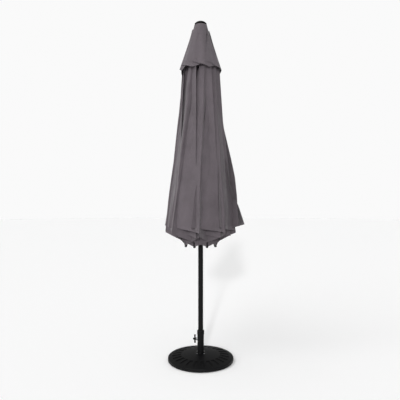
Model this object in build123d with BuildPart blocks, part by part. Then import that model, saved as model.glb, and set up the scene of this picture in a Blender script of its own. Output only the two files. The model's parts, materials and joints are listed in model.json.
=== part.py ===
"""Patio umbrella, folded, standing in its round weighted base. Millimetres, +Z up.

The origin is on the floor, on the pole's axis. Eight ribs hang from a hub at the pole's top,
and eight struts of equal arm join them to a runner, so the runner rides up the pole as the
ribs open. A hand crank winds the lift cord that pulls the runner.
"""
import os
from math import asin, cos, degrees, pi, radians, sin, sqrt

from build123d import *

os.makedirs("parts", exist_ok=True)

# ---- driving dimensions -------------------------------------------------------------------
# base
base_radius = 250.0
base_rim_height = 27.0
base_dome_rise = 30.0
well_floor = 6.0
relief_inner_radius = 150.0
relief_outer_radius = 218.0
relief_depth = 4.0
relief_count = 24
foot_height = 4.0
foot_radius = 14.0
foot_count = 6
foot_ring_radius = 215.0
flange_radius = 46.0
flange_thickness = 6.0
flange_screw_ring = 37.0
flange_screw_radius = 3.0
flange_screw_count = 4
flange_screw_length = 14.0
flange_boss_height = 7.0
flange_boss_wall = 4.0
tube_radius = 25.0
tube_wall = 3.0
tube_top = 226.0
collar_height = 27.0
collar_wall = 2.0
# clamp screw and knob
clamp_height = 164.0
clamp_screw_radius = 5.0
clamp_nut_depth = 8.0
clamp_nut_across = 18.0
clamp_screw_reach = 56.0
knob_hub_radius = 10.0
knob_hub_depth = 19.0
knob_wing_span = 64.0
knob_wing_thickness = 9.0
knob_wing_depth = 12.0
knob_gap = 1.5
# pole
pole_radius = 19.0
pole_wall = 1.6
pole_foot = 22.0
pole_joint_height = 1050.0
pole_top = 2548.0
sleeve_length = 150.0
sleeve_wall = 1.5
# hub, runner and linkage
rib_count = 8
first_rib_azimuth = 22.5
pivot_radius = 36.0
hub_drop = 18.0
rib_length = 1660.0
link_arm = 600.0
closed_angle = 2.4
hub_height = 26.0
hub_radius = 41.0
runner_height = 60.0
runner_wall = 6.0
runner_flange_radius = 41.0
ring_wire_radius = 1.5
wire_clearance = 0.4
tongue_eye_radius = 6.0
ear_radius = 5.5
rib_start_overlap = 12.0
link_slot_width = 11.0
rib_width = 14.0
rib_depth = 16.0
rib_lift = 8.0
rib_wall = 1.5
tongue_thickness = 8.0
tongue_length = 52.0
strut_width = 10.0
strut_depth = 11.0
ear_thickness = 2.5
ear_gap = 0.4
rivet_radius = 2.5
tip_length = 44.0
# crank
crank_height = 1190.0
housing_width = 58.0
housing_tall = 96.0
housing_front = 40.0
housing_rear = 29.0
housing_wall = 2.5
housing_screw_radius = 2.0
housing_screw_bite = 14.0
split_gap = 0.4
arm_gap = 1.0
grip_pin_radius = 4.0
drum_radius = 12.5
drum_length = 18.0
shaft_radius = 5.0
arm_length = 70.0
arm_width = 16.0
arm_thickness = 7.0
grip_radius = 11.0
grip_length = 34.0
cord_radius = 1.5
cord_knot_depth = 12.0
pulley_radius = 9.5
pulley_width = 6.0
pulley_pin_radius = 2.5
pulley_drop = 26.0
cord_azimuth = 0.0
# top cap
cap_radius = 46.0
cap_stem = 26.0
cap_rise = 24.0
cap_rim = 5.0
cap_flat = 4.0
cap_plug_length = 14.0
# canopy cloth, folded and wrapped round the ribs
cloth_thickness = 1.0
# each panel's crease runs down from beside its rib and on round the bundle, clockwise
crease_top_drop = 218.0
crease_top_radius = 115.0
crease_top_turn = 62.0
crease_hem_drop = 1538.0
crease_hem_turn = 128.0
crease_hem_radii = (262.0, 272.0, 322.0, 285.0, 280.0, 280.0, 292.0, 275.0)
flap_lean = 30.0
flap_top_width = 26.0
flap_hem_width = 185.0
under_lean = 17.0
under_top_width = 12.0
under_hem_width = 60.0
crease_gap = 8.0
crease_apex_drop = 267.0
flap_top_drop = 150.0
vent_top_radius = 50.0
vent_top_rise = 18.0
vent_shoulder_radius = 77.0
vent_shoulder_drop = 76.0
vent_hem_radius = 146.0
vent_hem_drop = 316.0
cloth_side = 1700.0
open_angle = 70.0
# clearances
running = 0.1
seat = 0.05
loose = 0.5

# ---- values worked out from them ----------------------------------------------------------
hub_pivot_height = pole_top - hub_drop
cap_base_height = pole_top + cap_stem
crease_top_height = pole_top - crease_top_drop
crease_hem_height = pole_top - crease_hem_drop
vent_top_height = pole_top + vent_top_rise
vent_shoulder_height = pole_top - vent_shoulder_drop
vent_hem_height = pole_top - vent_hem_drop
pole_bore = pole_radius - pole_wall
dome_top = base_rim_height + base_dome_rise
tube_bore = tube_radius - tube_wall
link_drop = 2 * link_arm * cos(radians(closed_angle))
runner_pivot_height = hub_pivot_height - link_drop


def rib_azimuth(index):
    """Angle of rib 1 to 8 about the pole."""
    return first_rib_azimuth + 360.0 / rib_count * (index - 1)


def radial_plane(azimuth, radius, height):
    """A plane whose X runs outward, whose Y runs up and whose normal is tangential."""
    out = Vector(cos(radians(azimuth)), sin(radians(azimuth)), 0)
    across = Vector(sin(radians(azimuth)), -cos(radians(azimuth)), 0)
    return Plane(origin=out * radius + Vector(0, 0, height), x_dir=out, z_dir=across)


def link_plane(azimuth, angle_from_vertical, along, lift):
    """A plane on a link's line: its Y runs up the line, its X outward from the link."""
    swing = radians(angle_from_vertical)
    out = Vector(cos(radians(azimuth)), sin(radians(azimuth)), 0)
    down_line = out * sin(swing) - Vector(0, 0, cos(swing))
    away = out * cos(swing) + Vector(0, 0, sin(swing))
    across = Vector(sin(radians(azimuth)), -cos(radians(azimuth)), 0)
    pivot = out * pivot_radius + Vector(0, 0, hub_pivot_height)
    return Plane(origin=pivot + down_line * along + away * lift, x_dir=away, z_dir=across)


def save(part, node):
    """Label a finished piece and write it as its own file."""
    part.label = node
    export_step(part, f"parts/{node}.step")


def dome_height(radius):
    """Height of the plate's domed top at a radius."""
    share = (radius - flange_radius) / (base_radius - flange_radius)
    return base_rim_height + base_dome_rise * (1 - share**1.6)


def ring(bore, outside, bottom, height):
    """A plain ring about the pole's axis."""
    with BuildPart() as blank:
        with BuildSketch(Plane.XY.offset(bottom)):
            Circle(outside)
            Circle(bore, mode=Mode.SUBTRACT)
        extrude(amount=height)
    return blank.part


# ---- weighted base ------------------------------------------------------------------------
relief_step = 360.0 / relief_count
relief_middle = (relief_inner_radius + relief_outer_radius) / 2
with BuildPart() as relief_cutter:
    with BuildSketch(Plane.XZ):
        with BuildLine():
            Polyline(
                (relief_inner_radius, dome_height(relief_inner_radius) - relief_depth),
                (relief_middle, dome_height(relief_middle) - relief_depth),
                (relief_outer_radius, dome_height(relief_outer_radius) - relief_depth),
                (relief_outer_radius, dome_top + 1),
                (relief_inner_radius, dome_top + 1),
                close=True,
            )
        make_face()
    revolve(axis=Axis.Z, revolution_arc=relief_step * 0.6)

with BuildPart() as base_plate:
    with BuildSketch(Plane.XZ):
        with BuildLine():
            rim_point = (base_radius, base_rim_height)
            middle_radius = (base_radius + flange_radius) / 2
            inner_point = (flange_radius, dome_top)
            Line((0, foot_height), (base_radius, foot_height))
            Line((base_radius, foot_height), rim_point)
            ThreePointArc(rim_point, (middle_radius, dome_height(middle_radius)), inner_point)
            Line(inner_point, (0, dome_top))
            Line((0, dome_top), (0, foot_height))
        make_face()
    revolve(axis=Axis.Z)
    rim_edges = base_plate.edges().filter_by(Plane.XY).group_by(SortBy.RADIUS)[-1]
    fillet(rim_edges, 4)
    # the recess that the flange lies in, and the well that the tube's foot stands in
    with BuildSketch(Plane.XY.offset(dome_top - flange_thickness)):
        Circle(flange_radius + loose)
    extrude(amount=2 * flange_thickness, mode=Mode.SUBTRACT)
    with BuildSketch(Plane.XY.offset(foot_height + well_floor)):
        Circle(tube_radius + seat)
    extrude(amount=dome_top, mode=Mode.SUBTRACT)
    with BuildSketch(Plane.XY.offset(dome_top - flange_thickness - flange_screw_length)):
        with PolarLocations(flange_screw_ring, flange_screw_count, start_angle=45):
            Circle(flange_screw_radius + seat)
    extrude(amount=dome_top, mode=Mode.SUBTRACT)
    with PolarLocations(0, relief_count):
        add(relief_cutter.part, mode=Mode.SUBTRACT)
save(base_plate.part, "base_plate")

with BuildPart() as rubber_feet:
    with BuildSketch(Plane.XY):
        Circle(foot_radius)
        with PolarLocations(foot_ring_radius, foot_count):
            Circle(foot_radius)
    extrude(amount=foot_height)
save(rubber_feet.part, "rubber_feet")

with BuildPart() as foot_flange:
    with BuildSketch(Plane.XY.offset(dome_top - flange_thickness)):
        Circle(flange_radius)
        Circle(tube_radius + seat, mode=Mode.SUBTRACT)
        with PolarLocations(flange_screw_ring, flange_screw_count, start_angle=45):
            Circle(flange_screw_radius + seat, mode=Mode.SUBTRACT)
    extrude(amount=flange_thickness)
    with BuildSketch(Plane.XY.offset(dome_top)):
        Circle(tube_radius + flange_boss_wall)
        Circle(tube_radius + seat, mode=Mode.SUBTRACT)
    extrude(amount=flange_boss_height)
    chamfer(foot_flange.edges().group_by(Axis.Z)[-1].sort_by(SortBy.RADIUS)[-1], 2)
save(foot_flange.part, "foot_flange")

with BuildPart() as flange_screws:
    with BuildSketch(Plane.XY.offset(dome_top - flange_thickness - flange_screw_length)):
        with PolarLocations(flange_screw_ring, flange_screw_count, start_angle=45):
            Circle(flange_screw_radius)
    extrude(amount=flange_thickness + flange_screw_length)
    with BuildSketch(Plane.XY.offset(dome_top)):
        with PolarLocations(flange_screw_ring, flange_screw_count, start_angle=45):
            Circle(1.7 * flange_screw_radius)
    extrude(amount=flange_screw_radius)
save(flange_screws.part, "flange_screws")

clamp_plane = Plane(origin=(0, 0, clamp_height), x_dir=(0, 1, 0), z_dir=(-1, 0, 0))
with BuildPart() as base_tube:
    add(ring(tube_bore, tube_radius, foot_height + well_floor, tube_top - foot_height - well_floor))
    with BuildSketch(clamp_plane):
        Circle(clamp_screw_radius + running)
    extrude(amount=2 * tube_radius, mode=Mode.SUBTRACT)
save(base_tube.part, "base_tube")

with BuildPart() as tube_collar:
    add(ring(pole_radius + loose / 2, tube_radius + collar_wall, tube_top, collar_wall))
    add(ring(tube_radius + seat, tube_radius + collar_wall, tube_top - collar_height, collar_height))
    add(ring(pole_radius + loose / 2, tube_bore - seat, tube_top - collar_height, collar_height))
    fillet(tube_collar.edges().group_by(Axis.Z)[-1].sort_by(SortBy.RADIUS)[-1], 1.2)
save(tube_collar.part, "tube_collar")

with BuildPart() as clamp_nut:
    with BuildSketch(clamp_plane.offset(tube_radius - 1.6)):
        RegularPolygon(clamp_nut_across / 2, 6, major_radius=False)
    extrude(amount=clamp_nut_depth + 1.6)
    with BuildSketch(Plane.XY.offset(clamp_height - clamp_nut_across)):
        Circle(tube_radius + seat)
    extrude(amount=2 * clamp_nut_across, mode=Mode.SUBTRACT)
    with BuildSketch(clamp_plane):
        Circle(clamp_screw_radius + running)
    extrude(amount=3 * tube_radius, mode=Mode.SUBTRACT)
save(clamp_nut.part, "clamp_nut")

with BuildPart() as clamp_screw:
    with BuildSketch(clamp_plane.offset(pole_radius + seat)):
        Circle(clamp_screw_radius)
    extrude(amount=clamp_screw_reach - pole_radius)
    chamfer(clamp_screw.edges().group_by(Axis.X)[-1], 1)
save(clamp_screw.part, "clamp_screw")

knob_start = tube_radius + clamp_nut_depth + knob_gap
with BuildPart() as clamp_knob:
    with BuildSketch(clamp_plane.offset(knob_start)):
        Circle(knob_hub_radius)
    extrude(amount=knob_hub_depth + clamp_screw_radius, taper=8)
    with BuildSketch(clamp_plane.offset(knob_start + 3)):
        with BuildLine():
            # the wings stand up and down, waisted at the hub
            half = knob_wing_span / 2
            waist = knob_wing_thickness * 0.75
            tip = knob_wing_thickness
            Spline((waist, 0), (tip * 0.8, half * 0.5), (tip, half * 0.82), (0, half))
            mirror(about=Plane.YZ)
            mirror(about=Plane.XZ)
        make_face()
    extrude(amount=knob_wing_depth)
    fillet(clamp_knob.edges().group_by(Axis.X)[0], 1.5)
    with BuildSketch(clamp_plane):
        Circle(clamp_screw_radius + running)
    extrude(amount=clamp_screw_reach + seat, mode=Mode.SUBTRACT)
save(clamp_knob.part, "clamp_knob")


# ---- pole ---------------------------------------------------------------------------------
front_face = Plane(origin=(0, 0, crank_height), x_dir=(1, 0, 0), z_dir=(0, -1, 0))
lower_tube = ring(pole_bore, pole_radius, pole_foot, pole_joint_height - pole_foot)
save(lower_tube, "lower_pole")

sleeve_blank = ring(
    pole_bore - seat - sleeve_wall,
    pole_bore - seat,
    pole_joint_height - sleeve_length / 2,
    sleeve_length,
)
save(sleeve_blank, "joint_sleeve")

pulley_height = hub_pivot_height - hub_height / 2 - pulley_drop
pulley_centre = pole_radius + cord_radius + loose - pulley_radius - cord_radius
pulley_plane = radial_plane(cord_azimuth, pulley_centre, pulley_height)
with BuildPart() as upper_pole:
    add(ring(pole_bore, pole_radius, pole_joint_height, pole_top - pole_joint_height))
    # the shaft's holes, front and back
    with BuildSketch(front_face.offset(-2 * pole_radius)):
        Circle(shaft_radius + running)
    extrude(amount=4 * pole_radius, mode=Mode.SUBTRACT)
    # the slot that the pulley looks out of
    slot_plane = radial_plane(cord_azimuth, pole_radius, pulley_height)
    with BuildSketch(slot_plane.offset(-pulley_width / 2 - loose)):
        Rectangle(2 * pole_wall + 6, 2 * pulley_radius + 12)
    extrude(amount=pulley_width + 2 * loose, mode=Mode.SUBTRACT)
    with BuildSketch(pulley_plane.offset(-2 * pole_radius)):
        Circle(pulley_pin_radius + seat)
    extrude(amount=4 * pole_radius, mode=Mode.SUBTRACT)
save(upper_pole.part, "upper_pole")

with BuildPart() as pulley:
    with BuildSketch(pulley_plane.offset(-pulley_width / 2)):
        Circle(pulley_radius + cord_radius)
        Circle(pulley_pin_radius + running, mode=Mode.SUBTRACT)
    extrude(amount=pulley_width)
    with BuildSketch(pulley_plane.offset(-cord_radius - running)):
        Circle(pulley_radius + cord_radius + 1)
        Circle(pulley_radius - running, mode=Mode.SUBTRACT)
    extrude(amount=2 * (cord_radius + running), mode=Mode.SUBTRACT)
save(pulley.part, "pulley")

pin_half = sqrt(pole_radius**2 - pulley_centre**2)
with BuildPart() as pulley_pin:
    with BuildSketch(pulley_plane.offset(-pin_half)):
        Circle(pulley_pin_radius)
    extrude(amount=2 * pin_half)
save(pulley_pin.part, "pulley_pin")

# ---- hub and top cap ----------------------------------------------------------------------
hub_bottom = hub_pivot_height - hub_height / 2
slot_root = pole_radius + runner_wall
with BuildPart() as top_hub:
    add(ring(pole_radius + seat, hub_radius, hub_bottom, hub_height))
    for index in range(1, rib_count + 1):
        across = radial_plane(rib_azimuth(index), pivot_radius, hub_pivot_height)
        with BuildSketch(across.offset(-tongue_thickness / 2 - loose / 2)):
            with Locations((slot_root - pivot_radius + hub_radius / 2, 0)):
                Rectangle(hub_radius, 2 * hub_height)
        extrude(amount=tongue_thickness + loose, mode=Mode.SUBTRACT)
    # the groove that the ring wire lies in
    with BuildSketch(Plane.XZ):
        with Locations((pivot_radius, hub_pivot_height)):
            Circle(ring_wire_radius + seat)
    revolve(axis=Axis.Z, mode=Mode.SUBTRACT)
save(top_hub.part, "top_hub")

with BuildPart() as hub_wire_ring:
    with BuildSketch(Plane.XZ):
        with Locations((pivot_radius, hub_pivot_height)):
            Circle(ring_wire_radius)
    revolve(axis=Axis.Z)
save(hub_wire_ring.part, "hub_wire_ring")

cap_rim_top = cap_base_height + cap_rim
cap_crown = cap_rise - cap_rim
with BuildPart() as top_cap:
    with BuildSketch(Plane.XZ):
        with BuildLine():
            Line((cap_flat, cap_rim_top + cap_crown), (0, cap_rim_top + cap_crown))
            Line((0, cap_rim_top + cap_crown), (0, cap_base_height))
            Line((0, cap_base_height), (cap_radius, cap_base_height))
            Line((cap_radius, cap_base_height), (cap_radius, cap_rim_top))
            ThreePointArc(
                (cap_radius, cap_rim_top),
                (cap_radius * 0.62, cap_rim_top + cap_crown * 0.7),
                (cap_flat, cap_rim_top + cap_crown),
            )
        make_face()
    revolve(axis=Axis.Z)
    # the stem stands on the pole's end, and its plug fills the bore
    with BuildSketch(Plane.XY.offset(pole_top)):
        Circle(pole_radius)
    extrude(amount=cap_base_height - pole_top)
    with BuildSketch(Plane.XY.offset(pole_top - cap_plug_length)):
        Circle(pole_bore - seat)
    extrude(amount=cap_plug_length)
save(top_cap.part, "top_cap")

# ---- runner -------------------------------------------------------------------------------
runner_top = runner_pivot_height + runner_height / 3
with BuildPart() as runner:
    add(ring(pole_radius + loose, pole_radius + runner_wall, runner_top - runner_height, runner_height))
    with BuildSketch(Plane.XY.offset(runner_pivot_height - hub_height / 2)):
        Circle(runner_flange_radius)
        Circle(pole_radius + loose, mode=Mode.SUBTRACT)
    extrude(amount=hub_height)
    for index in range(1, rib_count + 1):
        across = radial_plane(rib_azimuth(index), pivot_radius, runner_pivot_height)
        with BuildSketch(across.offset(-link_slot_width / 2)):
            with Locations((slot_root - pivot_radius + runner_flange_radius / 2, 0)):
                Rectangle(runner_flange_radius, 2 * hub_height)
        extrude(amount=link_slot_width, mode=Mode.SUBTRACT)
    with BuildSketch(Plane.XZ):
        with Locations((pivot_radius, runner_pivot_height)):
            Circle(ring_wire_radius + seat)
    revolve(axis=Axis.Z, mode=Mode.SUBTRACT)
    # the cord's hole
    with BuildSketch(Plane.XY.offset(runner_top - cord_knot_depth)):
        with Locations(Plane.XY.rotated((0, 0, cord_azimuth)).location):
            with Locations((pole_radius + cord_radius + loose, 0)):
                Circle(cord_radius + seat)
    extrude(amount=runner_height, mode=Mode.SUBTRACT)
save(runner.part, "runner")

with BuildPart() as runner_wire_ring:
    with BuildSketch(Plane.XZ):
        with Locations((pivot_radius, runner_pivot_height)):
            Circle(ring_wire_radius)
    revolve(axis=Axis.Z)
save(runner_wire_ring.part, "runner_wire_ring")


# ---- ribs and struts ----------------------------------------------------------------------
def make_rib(index):
    """A hollow rib, its hub tongue, its strut ears, its end tip and the strut's rivet."""
    azimuth = rib_azimuth(index)
    bar_middle = rib_lift + rib_depth / 2
    ear_reach = rib_lift + ear_radius
    hub_end = link_plane(azimuth, closed_angle, 0, 0)
    joint = link_plane(azimuth, closed_angle, link_arm, 0)
    bar_start = tongue_length - rib_start_overlap
    start = link_plane(azimuth, closed_angle, bar_start, bar_middle)
    section = Plane(origin=start.origin, x_dir=start.x_dir, z_dir=-start.y_dir)
    with BuildPart() as rib:
        with BuildSketch(section):
            RectangleRounded(rib_depth, rib_width, 3)
        extrude(amount=rib_length - bar_start - tip_length / 2)
        with BuildSketch(section.offset(tongue_length)):
            RectangleRounded(rib_depth - 2 * rib_wall, rib_width - 2 * rib_wall, 1.5)
        extrude(amount=rib_length, mode=Mode.SUBTRACT)
        with BuildSketch(hub_end.offset(-tongue_thickness / 2)):
            with BuildLine():
                eye = tongue_eye_radius
                Line((eye, 0), (rib_lift + rib_depth, -bar_start))
                Line((rib_lift + rib_depth, -bar_start), (rib_lift + rib_depth, -tongue_length))
                Line((rib_lift + rib_depth, -tongue_length), (rib_lift, -tongue_length))
                Line((rib_lift, -tongue_length), (-eye, 0))
                ThreePointArc((-eye, 0), (0, eye), (eye, 0))
            make_face()
            Circle(ring_wire_radius + wire_clearance, mode=Mode.SUBTRACT)
        extrude(amount=tongue_thickness)
        for side in (-1, 1):
            middle = side * (strut_width / 2 + ear_gap + ear_thickness / 2)
            with BuildSketch(joint.offset(middle - ear_thickness / 2)):
                with Locations((ear_reach / 2, 0)):
                    SlotCenterToCenter(ear_reach, 2 * ear_radius)
                Circle(rivet_radius + seat, mode=Mode.SUBTRACT)
            extrude(amount=ear_thickness)
    with BuildPart() as rivet:
        with BuildSketch(joint.offset(-strut_width / 2 - ear_gap - ear_thickness)):
            Circle(rivet_radius)
        extrude(amount=strut_width + 2 * ear_gap + 2 * ear_thickness)
    tip_start = link_plane(azimuth, closed_angle, rib_length - tip_length / 2, bar_middle)
    tip_section = Plane(origin=tip_start.origin, x_dir=tip_start.x_dir, z_dir=-tip_start.y_dir)
    with BuildPart() as tip:
        with BuildSketch(tip_section):
            RectangleRounded(rib_depth, rib_width, 3)
        with BuildSketch(tip_section.offset(tip_length / 2)):
            RectangleRounded(rib_depth * 1.15, rib_width, 4)
        loft()
        fillet(tip.faces().sort_by(Axis.Z)[0].edges(), 3)
    save(Compound([rib.part, rivet.part, tip.part]), f"rib_{index}")


def make_strut(index):
    """A strut from its rib's rivet to the runner's ring wire."""
    azimuth = rib_azimuth(index)
    joint = link_plane(azimuth, closed_angle, link_arm, 0)
    out = Vector(cos(radians(azimuth)), sin(radians(azimuth)), 0)
    foot = out * pivot_radius + Vector(0, 0, runner_pivot_height)
    line = (foot - joint.origin).normalized()
    across = joint.z_dir
    face = Plane(origin=joint.origin, x_dir=line.cross(across), z_dir=across)
    reach = (foot - joint.origin).length
    with BuildPart() as strut:
        with BuildSketch(face.offset(-strut_width / 2)):
            with Locations((0, reach / 2)):
                SlotCenterToCenter(reach, strut_depth, rotation=90)
            Circle(rivet_radius + running, mode=Mode.SUBTRACT)
            with Locations((0, reach)):
                Circle(ring_wire_radius + wire_clearance, mode=Mode.SUBTRACT)
        extrude(amount=strut_width)
    save(strut.part, f"strut_{index}")


for number in range(1, rib_count + 1):
    make_rib(number)
    make_strut(number)


# ---- crank --------------------------------------------------------------------------------
def half_housing(depth, side):
    """Half of the crank's box, front (side 1) or rear (side -1) of the pole."""
    outward = Plane(origin=(0, 0, crank_height), x_dir=(side, 0, 0), z_dir=(0, -side, 0))
    with BuildPart() as half:
        with BuildSketch(outward.offset(split_gap / 2)):
            RectangleRounded(housing_width, housing_tall, 12)
        extrude(amount=depth - split_gap / 2)
        fillet(half.faces().sort_by(Axis.Y)[0 if side > 0 else -1].edges(), 5)
        with BuildSketch(outward):
            RectangleRounded(housing_width - 2 * housing_wall, housing_tall - 20, 8)
        extrude(amount=depth - housing_wall, mode=Mode.SUBTRACT)
        with BuildSketch(Plane.XY.offset(crank_height - housing_tall)):
            Circle(pole_radius + seat)
        extrude(amount=2 * housing_tall, mode=Mode.SUBTRACT)
        if side > 0:
            with BuildSketch(outward):
                Circle(shaft_radius + running)
            extrude(amount=2 * depth, mode=Mode.SUBTRACT)
        with BuildSketch(outward):
            with Locations(*screw_places):
                Circle(housing_screw_radius + seat)
        extrude(amount=2 * depth, mode=Mode.SUBTRACT)
    return half.part


screw_places = [
    (x * (housing_width / 2 - 6), y * (housing_tall / 2 - 6)) for x in (-1, 1) for y in (-1, 1)
]
save(half_housing(housing_front, 1), "crank_housing_front")
save(half_housing(housing_rear, -1), "crank_housing_rear")

rear_plane = Plane(origin=(0, housing_rear, crank_height), x_dir=(-1, 0, 0), z_dir=(0, 1, 0))
with BuildPart() as housing_screws:
    with BuildSketch(rear_plane):
        with Locations(*screw_places):
            Circle(1.8 * housing_screw_radius)
    extrude(amount=housing_screw_radius)
    with BuildSketch(rear_plane):
        with Locations(*screw_places):
            Circle(housing_screw_radius)
    extrude(amount=-housing_rear - housing_screw_bite)
save(housing_screws.part, "housing_screws")

shaft_end = housing_front + arm_gap + arm_thickness
with BuildPart() as cord_spool:
    with BuildSketch(front_face.offset(-pole_radius - 4)):
        Circle(shaft_radius)
    extrude(amount=pole_radius + 4 + shaft_end)
    with BuildSketch(front_face.offset(-drum_length / 2)):
        Circle(drum_radius)
    extrude(amount=drum_length)
    for end in (-1, 1):
        with BuildSketch(front_face.offset(end * drum_length / 2 - 0.75)):
            Circle(drum_radius + 1.2)
        extrude(amount=1.5)
save(cord_spool.part, "cord_spool")

with BuildPart() as crank_arm:
    with BuildSketch(front_face.offset(housing_front + arm_gap)):
        with Locations((0, -arm_length / 2)):
            SlotCenterToCenter(arm_length, arm_width, rotation=90)
        Circle(shaft_radius + seat, mode=Mode.SUBTRACT)
    extrude(amount=arm_thickness)
    with BuildSketch(front_face.offset(shaft_end)):
        with Locations((0, -arm_length)):
            Circle(grip_pin_radius)
    extrude(amount=grip_length - 4)
save(crank_arm.part, "crank_arm")

with BuildPart() as crank_grip:
    with BuildSketch(front_face.offset(shaft_end + loose)):
        with Locations((0, -arm_length)):
            Circle(grip_radius)
    extrude(amount=grip_length)
    fillet(crank_grip.faces().sort_by(Axis.Y)[0].edges(), 6)
    with BuildSketch(front_face.offset(shaft_end)):
        with Locations((0, -arm_length)):
            Circle(grip_pin_radius + running)
    extrude(amount=grip_length - 4 + loose, mode=Mode.SUBTRACT)
save(crank_grip.part, "crank_grip")

# ---- lift cord ----------------------------------------------------------------------------
cord_run = pulley_centre - pulley_radius - cord_radius
cord_out = pulley_centre + pulley_radius + cord_radius
cord_plane = radial_plane(cord_azimuth, 0, 0)
with BuildPart() as lift_cord:
    with BuildLine(cord_plane):
        climb = Line((drum_radius + cord_radius, crank_height), (cord_run, pulley_height))
        over = ThreePointArc(
            (cord_run, pulley_height),
            (pulley_centre, pulley_height + pulley_radius + cord_radius),
            (cord_out, pulley_height),
        )
    with BuildSketch(Plane(origin=climb @ 0, z_dir=climb % 0)):
        Circle(cord_radius)
    sweep(transition=Transition.ROUND)
save(lift_cord.part, "lift_cord")

with BuildPart() as lift_cord_fall:
    with BuildSketch(Plane.XY.offset(runner_top)):
        with Locations(Plane.XY.rotated((0, 0, cord_azimuth)).location):
            with Locations((cord_out, 0)):
                Circle(cord_radius)
    extrude(amount=pulley_height - runner_top)
save(lift_cord_fall.part, "lift_cord_fall")


# ---- canopy -------------------------------------------------------------------------------
half_gore = degrees(asin(sin(radians(open_angle)) * sin(pi / rib_count)))
crease_length = cloth_side * cos(radians(half_gore))


def on_circle(radius, azimuth, height):
    """A point given by its distance from the axis, its direction and its height."""
    return Vector(radius * cos(radians(azimuth)), radius * sin(radians(azimuth)), height)


def flap(index, lean, top_width, hem_width, gap):
    """A flat strip of cloth that runs beside one panel's crease, leaning in by lean degrees."""
    azimuth = rib_azimuth(index)
    top = on_circle(crease_top_radius, azimuth - crease_top_turn, crease_top_height)
    hem_radius = crease_hem_radii[index - 1]
    hem = on_circle(hem_radius, azimuth - crease_hem_turn, crease_hem_height)
    line = (hem - top).normalized()
    outward = Vector(hem.X, hem.Y, 0).normalized()
    outward = (outward - line * outward.dot(line)).normalized()
    normal = outward.rotate(Axis((0, 0, 0), line), -lean)
    back = normal.cross(line)
    bottom = top + line * (crease_length - crease_apex_drop)
    top += line * flap_top_drop
    corners = [
        top + back * gap,
        bottom + back * gap,
        bottom + back * hem_width,
        top + back * (gap + top_width),
    ]
    with BuildPart() as strip:
        with BuildSketch(Plane(origin=top, x_dir=line, z_dir=normal)) as outline:
            with BuildLine():
                local = [outline.workplanes[0].to_local_coords(corner) for corner in corners]
                Polyline(*[(point.X, point.Y) for point in local], close=True)
            make_face()
        extrude(amount=cloth_thickness / 2, both=True)
    return strip.part


for number in range(1, rib_count + 1):
    save(flap(number, flap_lean, flap_top_width, flap_hem_width, 0), f"panel_outer_{number}")
    under = flap(number, flap_lean - under_lean, under_top_width, under_hem_width, crease_gap)
    save(under, f"panel_inner_{number}")

vent_wall = cloth_thickness
with BuildPart() as vent_canopy:
    with BuildSketch(Plane.XZ):
        with BuildLine():
            outer = Spline(
                (vent_top_radius, vent_top_height),
                (vent_shoulder_radius, vent_shoulder_height),
                (vent_hem_radius, vent_hem_height),
            )
            Line(outer @ 1, (vent_hem_radius - vent_wall, vent_hem_height))
            Spline(
                (vent_hem_radius - vent_wall, vent_hem_height),
                (vent_shoulder_radius - vent_wall, vent_shoulder_height),
                (vent_top_radius - vent_wall, vent_top_height),
            )
            Line((vent_top_radius - vent_wall, vent_top_height), outer @ 0)
        make_face()
    revolve(axis=Axis.Z)
save(vent_canopy.part, "vent_canopy")
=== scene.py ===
"""A folded patio umbrella in its round base, on a pale studio floor.

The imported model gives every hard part. This script makes the canopy's cloth: eight panels,
each creased into an outer and an inner half and wrapped round the bundle, and the vent over
them. Metres, in the frame's own axes.
"""
import json
import math

import bmesh
import bpy
import numpy as np
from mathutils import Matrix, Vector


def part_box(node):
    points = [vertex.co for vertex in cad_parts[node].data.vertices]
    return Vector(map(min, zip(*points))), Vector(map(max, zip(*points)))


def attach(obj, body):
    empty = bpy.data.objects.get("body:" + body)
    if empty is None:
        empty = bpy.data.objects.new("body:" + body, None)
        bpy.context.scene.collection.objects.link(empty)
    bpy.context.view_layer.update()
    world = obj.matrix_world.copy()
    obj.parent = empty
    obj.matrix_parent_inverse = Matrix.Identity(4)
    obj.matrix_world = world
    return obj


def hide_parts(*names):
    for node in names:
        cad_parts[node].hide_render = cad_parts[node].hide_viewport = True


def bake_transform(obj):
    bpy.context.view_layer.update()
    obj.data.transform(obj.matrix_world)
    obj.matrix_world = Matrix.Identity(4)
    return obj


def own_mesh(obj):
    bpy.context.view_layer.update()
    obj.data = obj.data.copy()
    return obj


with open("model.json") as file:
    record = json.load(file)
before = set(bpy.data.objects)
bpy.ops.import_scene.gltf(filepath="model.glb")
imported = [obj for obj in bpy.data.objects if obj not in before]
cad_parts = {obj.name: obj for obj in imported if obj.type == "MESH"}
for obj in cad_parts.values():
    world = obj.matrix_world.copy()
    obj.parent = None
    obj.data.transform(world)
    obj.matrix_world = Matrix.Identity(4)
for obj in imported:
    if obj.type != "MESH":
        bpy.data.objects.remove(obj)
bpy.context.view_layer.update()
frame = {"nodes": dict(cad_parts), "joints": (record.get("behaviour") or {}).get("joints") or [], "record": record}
joints = {joint["name"]: joint for joint in frame["joints"]}

RIB_COUNT = 8
UP = np.array([0.0, 0.0, 1.0])

# ---- camera -------------------------------------------------------------------------------
CAMERA_SIDE = -0.005
CAMERA_DISTANCE = 3.224
CAMERA_HEIGHT = 1.228
LENS_MM = 37.8

camera_data = bpy.data.cameras.new("camera")
camera_data.lens = LENS_MM
camera = bpy.data.objects.new("camera", camera_data)
camera.location = (CAMERA_SIDE, -CAMERA_DISTANCE, CAMERA_HEIGHT)
camera.rotation_euler = (math.radians(90), 0, 0)
bpy.context.scene.collection.objects.link(camera)
bpy.context.scene.camera = camera
bpy.context.scene.view_settings.view_transform = "Standard"


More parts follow.
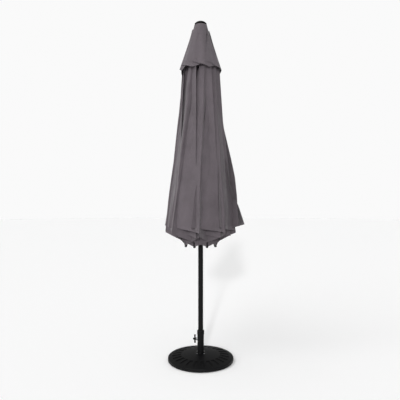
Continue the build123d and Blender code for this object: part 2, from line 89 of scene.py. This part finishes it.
# ---- materials ----------------------------------------------------------------------------
def linear(hex_colour):
    """An sRGB hex colour as the linear colour that shaders take."""
    parts = [int(hex_colour[i : i + 2], 16) / 255 for i in (1, 3, 5)]
    return [c / 12.92 if c <= 0.04045 else ((c + 0.055) / 1.055) ** 2.4 for c in parts] + [1.0]


def add_node(material, kind, settings=None, links=None):
    """Adds one node, sets its values and links its inputs from other nodes' outputs."""
    tree = material.node_tree
    node = tree.nodes.new(kind)
    for name, value in (settings or {}).items():
        if name in node.inputs:
            node.inputs[name].default_value = value
        else:
            setattr(node, name, value)
    for name, (source, output) in (links or {}).items():
        tree.links.new(source.outputs[output], node.inputs[name])
    return node


def plain_material(name, colour, roughness, metallic=0.0):
    """A material with one colour and one finish."""
    material = bpy.data.materials.new(name)
    material.use_nodes = True
    shader = material.node_tree.nodes["Principled BSDF"]
    shader.inputs["Base Color"].default_value = linear(colour)
    shader.inputs["Roughness"].default_value = roughness
    shader.inputs["Metallic"].default_value = metallic
    return material, shader


def grained(name, colour, spot_colour, roughness, grain_mm, depth_mm, metallic=0.0, shine=0.12):
    """A material whose colour and surface vary finely, at a grain given in millimetres."""
    material, shader = plain_material(name, colour, roughness, metallic)
    shader.inputs["Specular IOR Level"].default_value = shine
    tree = material.node_tree
    place = add_node(material, "ShaderNodeTexCoord")
    grain = add_node(
        material,
        "ShaderNodeTexNoise",
        {"Scale": 1000 / grain_mm, "Detail": 3.0},
        {"Vector": (place, "Object")},
    )
    mix = add_node(material, "ShaderNodeMix", {"data_type": "RGBA"}, {"Factor": (grain, "Fac")})
    mix.inputs[6].default_value = linear(colour)
    mix.inputs[7].default_value = linear(spot_colour)
    tree.links.new(mix.outputs[2], shader.inputs["Base Color"])
    bump = add_node(
        material,
        "ShaderNodeBump",
        {"Strength": 0.5, "Distance": depth_mm / 1000},
        {"Height": (grain, "Fac")},
    )
    tree.links.new(bump.outputs["Normal"], shader.inputs["Normal"])
    return material


THREAD_MM = 0.9
MOTTLE_MM = 111.1
CRUMPLE_MM = 62.5


def make_cloth():
    """Woven polyester, dark warm grey: a fine weave, soft mottling and a crumpled surface."""
    material, shader = plain_material("woven_polyester", "#565155", 0.85)
    tree = material.node_tree
    place = add_node(material, "ShaderNodeTexCoord")
    mottle = add_node(
        material,
        "ShaderNodeTexNoise",
        {"Scale": 1000 / MOTTLE_MM, "Detail": 4.0, "Roughness": 0.6},
        {"Vector": (place, "Object")},
    )
    mix = add_node(material, "ShaderNodeMix", {"data_type": "RGBA"}, {"Factor": (mottle, "Fac")})
    mix.inputs[6].default_value = linear("#4b4549")
    mix.inputs[7].default_value = linear("#5e575c")
    tree.links.new(mix.outputs[2], shader.inputs["Base Color"])
    weave = add_node(
        material,
        "ShaderNodeTexVoronoi",
        {"Scale": 1000 / THREAD_MM},
        {"Vector": (place, "Object")},
    )
    crumpling = add_node(
        material,
        "ShaderNodeTexNoise",
        {"Scale": 1000 / CRUMPLE_MM, "Detail": 5.0, "Roughness": 0.55},
        {"Vector": (place, "Object")},
    )
    fine = add_node(
        material,
        "ShaderNodeBump",
        {"Strength": 0.35, "Distance": 0.0004},
        {"Height": (weave, "Distance")},
    )
    bump = add_node(
        material,
        "ShaderNodeBump",
        {"Strength": 0.5, "Distance": 0.012},
        {"Height": (crumpling, "Fac"), "Normal": (fine, "Normal")},
    )
    tree.links.new(bump.outputs["Normal"], shader.inputs["Normal"])
    shader.inputs["Sheen Weight"].default_value = 0.15
    shader.inputs["Specular IOR Level"].default_value = 0.3
    return material


cloth = make_cloth()
# powder-coated steel: near black, with a soft sheen along the tubes
black_paint = grained("black_powder_coat", "#060607", "#0b0b0c", 0.42, 0.6, 0.03)
# painted cast resin stone: black, satin and slightly uneven
resin_stone = grained("painted_resin_stone", "#060607", "#0d0d0e", 0.5, 2.5, 0.12)
# moulded nylon: black, duller than the paint, with a fine grain
black_plastic = grained("moulded_nylon", "#060607", "#0b0b0c", 0.5, 0.8, 0.04)
# zinc-plated steel: the small bright glints of the screws and nut
steel = grained("zinc_plated_steel", "#b9babb", "#9c9da0", 0.3, 1.2, 0.01, 1.0, 0.5)
# rubber: matt dark grey, no highlight
rubber = grained("moulded_rubber", "#161616", "#1e1e1e", 0.8, 1.0, 0.05)
# braided polyester cord: an off-white line beside the pole
cord_braid = grained("braided_cord", "#cfcdc6", "#a8a69f", 0.8, 1.0, 0.2)

BY_SLOT = {
    "resin_stone": resin_stone,
    "black_paint": black_paint,
    "steel": steel,
    "black_plastic": black_plastic,
    "rubber": rubber,
    "cord": cord_braid,
    "canopy_cloth": cloth,
}
SLOT_OF = {part["node"]: part["material_slot"] for part in frame["record"]["subparts"]}


def dress(obj, material):
    """Gives obj one material."""
    obj.data.materials.clear()
    obj.data.materials.append(material)


for node_name, node_object in frame["nodes"].items():
    dress(node_object, BY_SLOT[SLOT_OF[node_name]])


# ---- turning points about the joints ------------------------------------------------------
def turned(points, joint, degrees):
    """Points turned about a joint's axis. degrees may be one angle or one for each point."""
    axis = np.array(joint["axis"], float)
    axis /= np.linalg.norm(axis)
    pivot = np.array(joint["pos_m"], float)
    angle = np.radians(np.broadcast_to(degrees, len(points)))[:, None]
    arm = points - pivot
    along = np.outer(arm @ axis, axis)
    return pivot + along + (arm - along) * np.cos(angle) + np.cross(axis, arm) * np.sin(angle)


def open_angle(joint):
    """The joint's angle when the canopy is fully open."""
    low, high = joint["range_deg"]
    return high if high > -low else low


def smooth(share):
    """An even step from 0 to 1."""
    share = np.clip(share, 0, 1)
    return share * share * (3 - 2 * share)


# ---- the open canopy, which the cloth is cut for ------------------------------------------
CLOSED_ANGLE = 2.4
OPEN_ANGLE = CLOSED_ANGLE + open_angle(joints["rib_1_fold"])
SEAM_LIFT = 0.0255
CLOTH_START = 0.300
CREASE_START = 0.335
CLOTH_SIDE = 1.700

first_hinge = np.array(joints["rib_1_fold"]["pos_m"])
PIVOT_RADIUS = math.hypot(first_hinge[0], first_hinge[1])
apex_rise = SEAM_LIFT / math.sin(math.radians(OPEN_ANGLE))
apex_rise += PIVOT_RADIUS / math.tan(math.radians(OPEN_ANGLE))
apex = UP * (first_hinge[2] + apex_rise)


def neighbour(index):
    """The rib that a panel's inner half is sewn to, clockwise from its own."""
    return (index - 2) % RIB_COUNT + 1


def outward(index):
    """Horizontal direction of a rib."""
    x, y, _ = joints[f"rib_{index}_fold"]["pos_m"]
    return np.array([x, y, 0.0]) / math.hypot(x, y)


def rib_line(index):
    """Direction of an open rib, from the hub to its tip."""
    swing = math.radians(OPEN_ANGLE)
    return outward(index) * math.sin(swing) - UP * math.cos(swing)


def gore_frame(own, other):
    """An open rib's direction, the direction across its gore, and half the gore's angle."""
    along = rib_line(own)
    middle = along + rib_line(other)
    middle /= np.linalg.norm(middle)
    full = math.acos(along @ middle)
    across = (middle - along * math.cos(full)) / math.sin(full)
    return along, across, full


def half_gore(own, other, rows, columns, first, last):
    """Grid of points of the flat half gore from rib own towards rib other, with the canopy open.
    first and last are shares of the half gore's angle."""
    along, across, full = gore_frame(own, other)
    grid = []
    for share in np.linspace(first, last, columns + 1):
        turn = full * share
        line = along * math.cos(turn) + across * math.sin(turn)
        hem = CLOTH_SIDE * math.cos(full) / math.cos(full - turn)
        start = CLOTH_START + (CREASE_START - CLOTH_START) * share
        steps = np.linspace(start, hem, rows + 1)
        grid.append(apex + line * steps[:, None])
    return np.array(grid)


def mesh_from_grid(name, grid, flip):
    """A mesh of quads from a grid of points."""
    columns, rows = grid.shape[0], grid.shape[1]
    faces = []
    for i in range(columns - 1):
        for j in range(rows - 1):
            corner = i * rows + j
            quad = (corner, corner + rows, corner + rows + 1, corner + 1)
            faces.append(quad[::-1] if flip else quad)
    mesh = bpy.data.meshes.new(name)
    mesh.from_pydata(grid.reshape(-1, 3).tolist(), [], faces)
    mesh.polygons.foreach_set("use_smooth", [True] * len(mesh.polygons))
    mesh.update()
    obj = bpy.data.objects.new(name, mesh)
    bpy.context.scene.collection.objects.link(obj)
    dress(obj, cloth)
    return obj


# how far a panel's crease stands off its straight line, at steps from its top to its hem:
# panel 3 draws in on the right and flares at its corner
CREASE_STEPS = (0.0, 0.17, 0.45, 0.58, 0.70, 0.82, 0.90, 1.0)
CREASE_SHIFTS = {3: (0.0, 0.006, -0.014, -0.024, -0.028, -0.010, 0.010, 0.027)}
USUAL_SHIFT = (0.0, 0.004, 0.006, 0.004, 0.003, 0.003, 0.002, 0.0)
SHIFT_START = 0.35
SAG = 0.010
FOLD_HEIGHT = 0.006
VALLEY_DEPTH = 0.9


def normals(grid):
    """The surface's normal at every point of a grid."""
    first, second = np.gradient(grid, axis=0), np.gradient(grid, axis=1)
    normal = np.cross(first, second)
    return normal / (np.linalg.norm(normal, axis=-1, keepdims=True) + 1e-12)


def crease_shift(index, across, down):
    """How far panel index stands off its flat shape, across from its rib and down its crease."""
    shift = np.interp(down, CREASE_STEPS, CREASE_SHIFTS.get(index, USUAL_SHIFT))
    return shift[None, :] * smooth((across - SHIFT_START) / (1 - SHIFT_START))


def crumple(grid, index):
    """Pushes an outer half in and out: long soft folds, thin valleys and a sag by the rib."""
    columns, rows = grid.shape[0], grid.shape[1]
    rng = np.random.default_rng(index)
    across = np.linspace(0, 1, columns)[:, None]
    down = np.linspace(0, 1, rows)[None, :]
    waves = np.zeros((columns, rows))
    for order in (1.5, 2.6, 4.1):
        drift = rng.uniform(-0.5, 0.5)
        sway = 0.3 * np.sin(2 * math.pi * (down * rng.uniform(0.5, 1.3) + rng.random()))
        phase = rng.random()
        swell = np.sin(2 * math.pi * (across * order + drift * down + sway + phase))
        waves += swell / order
    for order in (2.2, 3.7):
        drift = rng.uniform(-0.9, 0.3)
        sway = 0.12 * np.sin(2 * math.pi * (down * rng.uniform(0.8, 1.6) + rng.random()))
        line = np.abs(np.sin(math.pi * (across * order + drift * down + sway + rng.random())))
        waves -= VALLEY_DEPTH * (1 - line) ** 4
    fade = smooth((1 - across) / 0.12) * smooth(across / 0.3)
    amount = waves * fade * FOLD_HEIGHT * (0.45 + 0.55 * down)
    amount -= SAG * np.sin(math.pi * across) * (0.3 + 0.7 * down)
    amount += crease_shift(index, across, down[0])
    return grid + normals(grid) * amount[..., None]


# ---- outer halves: from each rib, round the bundle to the crease --------------------------
# the bend lies about a line beside the rib, whose ends are given outward, sideways and up
BEND_WIDTH = 0.060
BEND_TOP = (0.062, 0.060, 2.330)
BEND_HEM = (0.070, 0.235, 1.010)
BEND_SLANT = 0.8
PANEL_COLUMNS = 44
PANEL_ROWS = 110
BISECTIONS = 40


def bend_planes(index):
    """Start and end of the bend in an outer half, beside rib index."""
    out = outward(index)
    beside = -np.cross(UP, out)
    top = out * BEND_TOP[0] + beside * BEND_TOP[1] + UP * BEND_TOP[2]
    hem = out * BEND_HEM[0] + beside * BEND_HEM[1] + UP * BEND_HEM[2]
    line = (hem - top) / np.linalg.norm(hem - top)
    across = beside * math.cos(BEND_SLANT) - out * math.sin(BEND_SLANT)
    across -= line * (across @ line)
    across /= np.linalg.norm(across)
    return top - across * BEND_WIDTH / 2, top + across * BEND_WIDTH / 2


def folded_outer(index, grid):
    """Where the open half gore's points lie when the umbrella is folded."""
    rib_joint = joints[f"rib_{index}_fold"]
    turn_joint = joints[f"panel_outer_{index}_turn"]
    start, end = bend_planes(index)
    reach = end - start
    full = open_angle(turn_joint)
    on_rib = turned(grid.reshape(-1, 3), rib_joint, -open_angle(rib_joint))
    low, high = np.zeros(len(on_rib)), np.ones(len(on_rib))
    for _ in range(BISECTIONS):
        share = (low + high) / 2
        placed = turned(on_rib, turn_joint, -share * full)
        more = smooth((placed - start) @ reach / (reach @ reach)) > share
        low = np.where(more, share, low)
        high = np.where(more, high, share)
    return turned(on_rib, turn_joint, -(low + high) / 2 * full).reshape(grid.shape)


def make_outer(index):
    """The outer half of a panel, bending between its rib and its folded flap."""
    flat = half_gore(index, neighbour(index), PANEL_ROWS, PANEL_COLUMNS, 0.0, 1.0)
    folded = crumple(folded_outer(index, flat), index)
    obj = mesh_from_grid(f"cloth_outer_{index}", folded, True)
    start, end = bend_planes(index)
    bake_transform(obj)
    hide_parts(f"panel_outer_{index}")


# ---- inner halves: from the crease back under, to the next rib ----------------------------
INNER_SPLIT = 0.34
INNER_COLUMNS = 14
INNER_ROWS = 55


def make_inner(index):
    """The inner half: a strip that stays flat beside its rib, and the flap under the crease."""
    rib = neighbour(index)
    rib_joint = joints[f"rib_{rib}_fold"]
    turn_joint = joints[f"panel_inner_{index}_turn"]
    for part, first, last, body in (
        ("strip", 0.0, INNER_SPLIT, f"rib_{rib}"),
        ("flap", INNER_SPLIT, 1.0, f"panel_inner_{index}"),
    ):
        flat = half_gore(rib, index, INNER_ROWS, INNER_COLUMNS, first, last)
        shares = np.linspace(first, last, flat.shape[0])[:, None]
        shift = crease_shift(index, shares, np.linspace(0, 1, flat.shape[1]))
        flat = flat - normals(flat) * shift[..., None]
        placed = turned(flat.reshape(-1, 3), rib_joint, -open_angle(rib_joint))
        if part == "flap":
            placed = turned(placed, turn_joint, -open_angle(turn_joint))
        obj = mesh_from_grid(f"cloth_inner_{part}_{index}", placed.reshape(flat.shape), False)
        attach(obj, body)
    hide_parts(f"panel_inner_{index}")


for number in range(1, RIB_COUNT + 1):
    make_outer(number)
    make_inner(number)

# ---- vent canopy --------------------------------------------------------------------------
VENT_START = 0.050
VENT_SIDE = 0.378
VENT_TOP_RADIUS = 0.050
VENT_HEM_RADIUS = 0.150
VENT_FLUTE = 0.0045
VENT_LAYER = 0.006
VENT_COLUMNS = 56
VENT_ROWS = 40
COLLAR_COLUMNS = 96
COLLAR_ROWS = 12
COLLAR_DROP = 0.085
COLLAR_INSET = 0.001

vent_low, vent_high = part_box("vent_canopy")


def vent_radius(height):
    """Distance of the folded vent from the pole's axis at a height."""
    down = (vent_high[2] - height) / (vent_high[2] - vent_low[2])
    return VENT_TOP_RADIUS + (VENT_HEM_RADIUS - VENT_TOP_RADIUS) * np.clip(down, 0, 1.2) ** 1.08


def flute(azimuth, height):
    """How far the folded vent's soft flutes stand out."""
    down = smooth((vent_high[2] - height) / (vent_high[2] - vent_low[2]))
    wave = np.sin(8 * azimuth + 0.7 * np.sin(2 * azimuth + 1)) + 0.6 * np.sin(13 * azimuth + 2)
    return VENT_FLUTE * down * wave


def make_vent(index):
    """The vent's cloth on one rib: half a gore to either side, folded round the bundle."""
    out = outward(index)
    beside = -np.cross(UP, out)
    tilt = math.radians(CLOSED_ANGLE)
    down_line = out * math.sin(tilt) - UP * math.cos(tilt)
    away = out * math.cos(tilt) + UP * math.sin(tilt)
    hinge = np.array(joints[f"rib_{index}_fold"]["pos_m"])
    along_open, across, full = gore_frame(index, neighbour(index))
    sideways = across @ beside
    hinge_along = (hinge - apex) @ along_open
    rib_azimuth = math.atan2(out[1], out[0])
    grid = []
    for share in np.linspace(-1, 1, VENT_COLUMNS + 1):
        turn = full * abs(share)
        hem = VENT_SIDE * math.cos(full) / math.cos(full - turn)
        length = np.linspace(VENT_START, hem, VENT_ROWS + 1)
        flat_side = length * math.sin(turn) * np.sign(share)
        side = flat_side * sideways
        drop = length * math.cos(turn) - hinge_along
        height = hinge[2] - drop
        radius = vent_radius(height) + VENT_LAYER * share
        reach = np.sqrt(np.maximum(radius**2 - side**2, (0.3 * radius) ** 2))
        azimuth = rib_azimuth - np.arctan2(side, reach)
        scale = 1 + flute(azimuth, height) / radius
        rise = (reach * scale - PIVOT_RADIUS - drop * math.sin(tilt)) / math.cos(tilt)
        points = hinge + down_line * drop[:, None] + beside * side[:, None] + away * rise[:, None]
        grid.append(points)
    obj = mesh_from_grid(f"vent_cloth_{index}", np.array(grid), True)
    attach(obj, f"rib_{index}")
    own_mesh(obj)


def make_collar():
    """The vent's top band, held on the pole under the cap."""
    heights = np.linspace(vent_high[2], vent_high[2] - COLLAR_DROP, COLLAR_ROWS + 1)
    radii = vent_radius(heights) - COLLAR_INSET
    grid = np.array(
        [
            np.stack([radii * math.cos(azimuth), radii * math.sin(azimuth), heights], 1)
            for azimuth in np.linspace(0, 2 * math.pi, COLLAR_COLUMNS + 1)
        ]
    )
    obj = mesh_from_grid("vent_collar", grid, False)
    welded = bmesh.new()
    welded.from_mesh(obj.data)
    bmesh.ops.remove_doubles(welded, verts=welded.verts, dist=1e-5)
    welded.to_mesh(obj.data)
    welded.free()
    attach(obj, "pole")
    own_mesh(obj)
    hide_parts("vent_canopy")


make_collar()
for number in range(1, RIB_COUNT + 1):
    make_vent(number)


def make_cord_fall():
    """The stretch of lift cord that runs down outside the pole to the runner."""
    low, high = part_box("lift_cord_fall")
    radius = (high[0] - low[0]) / 2
    middle = ((low[0] + high[0]) / 2, (low[1] + high[1]) / 2, (low[2] + high[2]) / 2)
    bpy.ops.mesh.primitive_cylinder_add(
        vertices=16, radius=radius, depth=high[2] - low[2], location=middle
    )
    obj = bpy.context.object
    obj.name = "cord_fall"
    obj.data.transform(obj.matrix_world)
    obj.matrix_world.identity()
    dress(obj, cord_braid)
    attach(obj, "pole")
    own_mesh(obj)
    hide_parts("lift_cord_fall")


make_cord_fall()

# ---- floor and light ----------------------------------------------------------------------
FLOOR_SIZE = 60
WALL_RADIUS = 26
WALL_HEIGHT = 60
WALL_MIDDLE = 10
WALL_LIGHT = 0.955
SKY_LIGHT = 0.42

bpy.ops.mesh.primitive_plane_add(size=FLOOR_SIZE)
floor = bpy.context.object
floor.name = "floor"
floor_material, _ = plain_material("studio_floor", "#fbfbfb", 0.95)
dress(floor, floor_material)

# a round white wall that stands far off, is seen by the camera and lights nothing
bpy.ops.mesh.primitive_cylinder_add(
    vertices=128,
    radius=WALL_RADIUS,
    depth=WALL_HEIGHT,
    end_fill_type="NOTHING",
    location=(0, 0, WALL_MIDDLE),
)
wall = bpy.context.object
wall.name = "wall"
wall.visible_diffuse = False
wall.visible_glossy = False
wall.visible_shadow = False
wall_material, wall_shader = plain_material("white_wall", "#000000", 1.0)
wall_shader.inputs["Specular IOR Level"].default_value = 0.0
wall_shader.inputs["Emission Color"].default_value = (1, 1, 1, 1)
wall_shader.inputs["Emission Strength"].default_value = WALL_LIGHT
dress(wall, wall_material)

world = bpy.data.worlds.new("studio")
bpy.context.scene.world = world
world.use_nodes = True
world.node_tree.nodes["Background"].inputs["Color"].default_value = (1, 1, 1, 1)
world.node_tree.nodes["Background"].inputs["Strength"].default_value = SKY_LIGHT


def add_sun(name, strength, spread_deg, turn_deg):
    """A soft distant light, turned about X and then about Z."""
    data = bpy.data.lights.new(name, "SUN")
    data.energy = strength
    data.angle = math.radians(spread_deg)
    light = bpy.data.objects.new(name, data)
    light.rotation_euler = [math.radians(turn) for turn in turn_deg]
    bpy.context.scene.collection.objects.link(light)


# the key comes from the front left, and a low one throws the pole's soft shadow back
add_sun("key", 1.25, 50, (50, 0, -48))
add_sun("low", 1.6, 3.5, (75, 0, -6.5))
add_sun("overhead", 0.6, 60, (8, -14, 0))
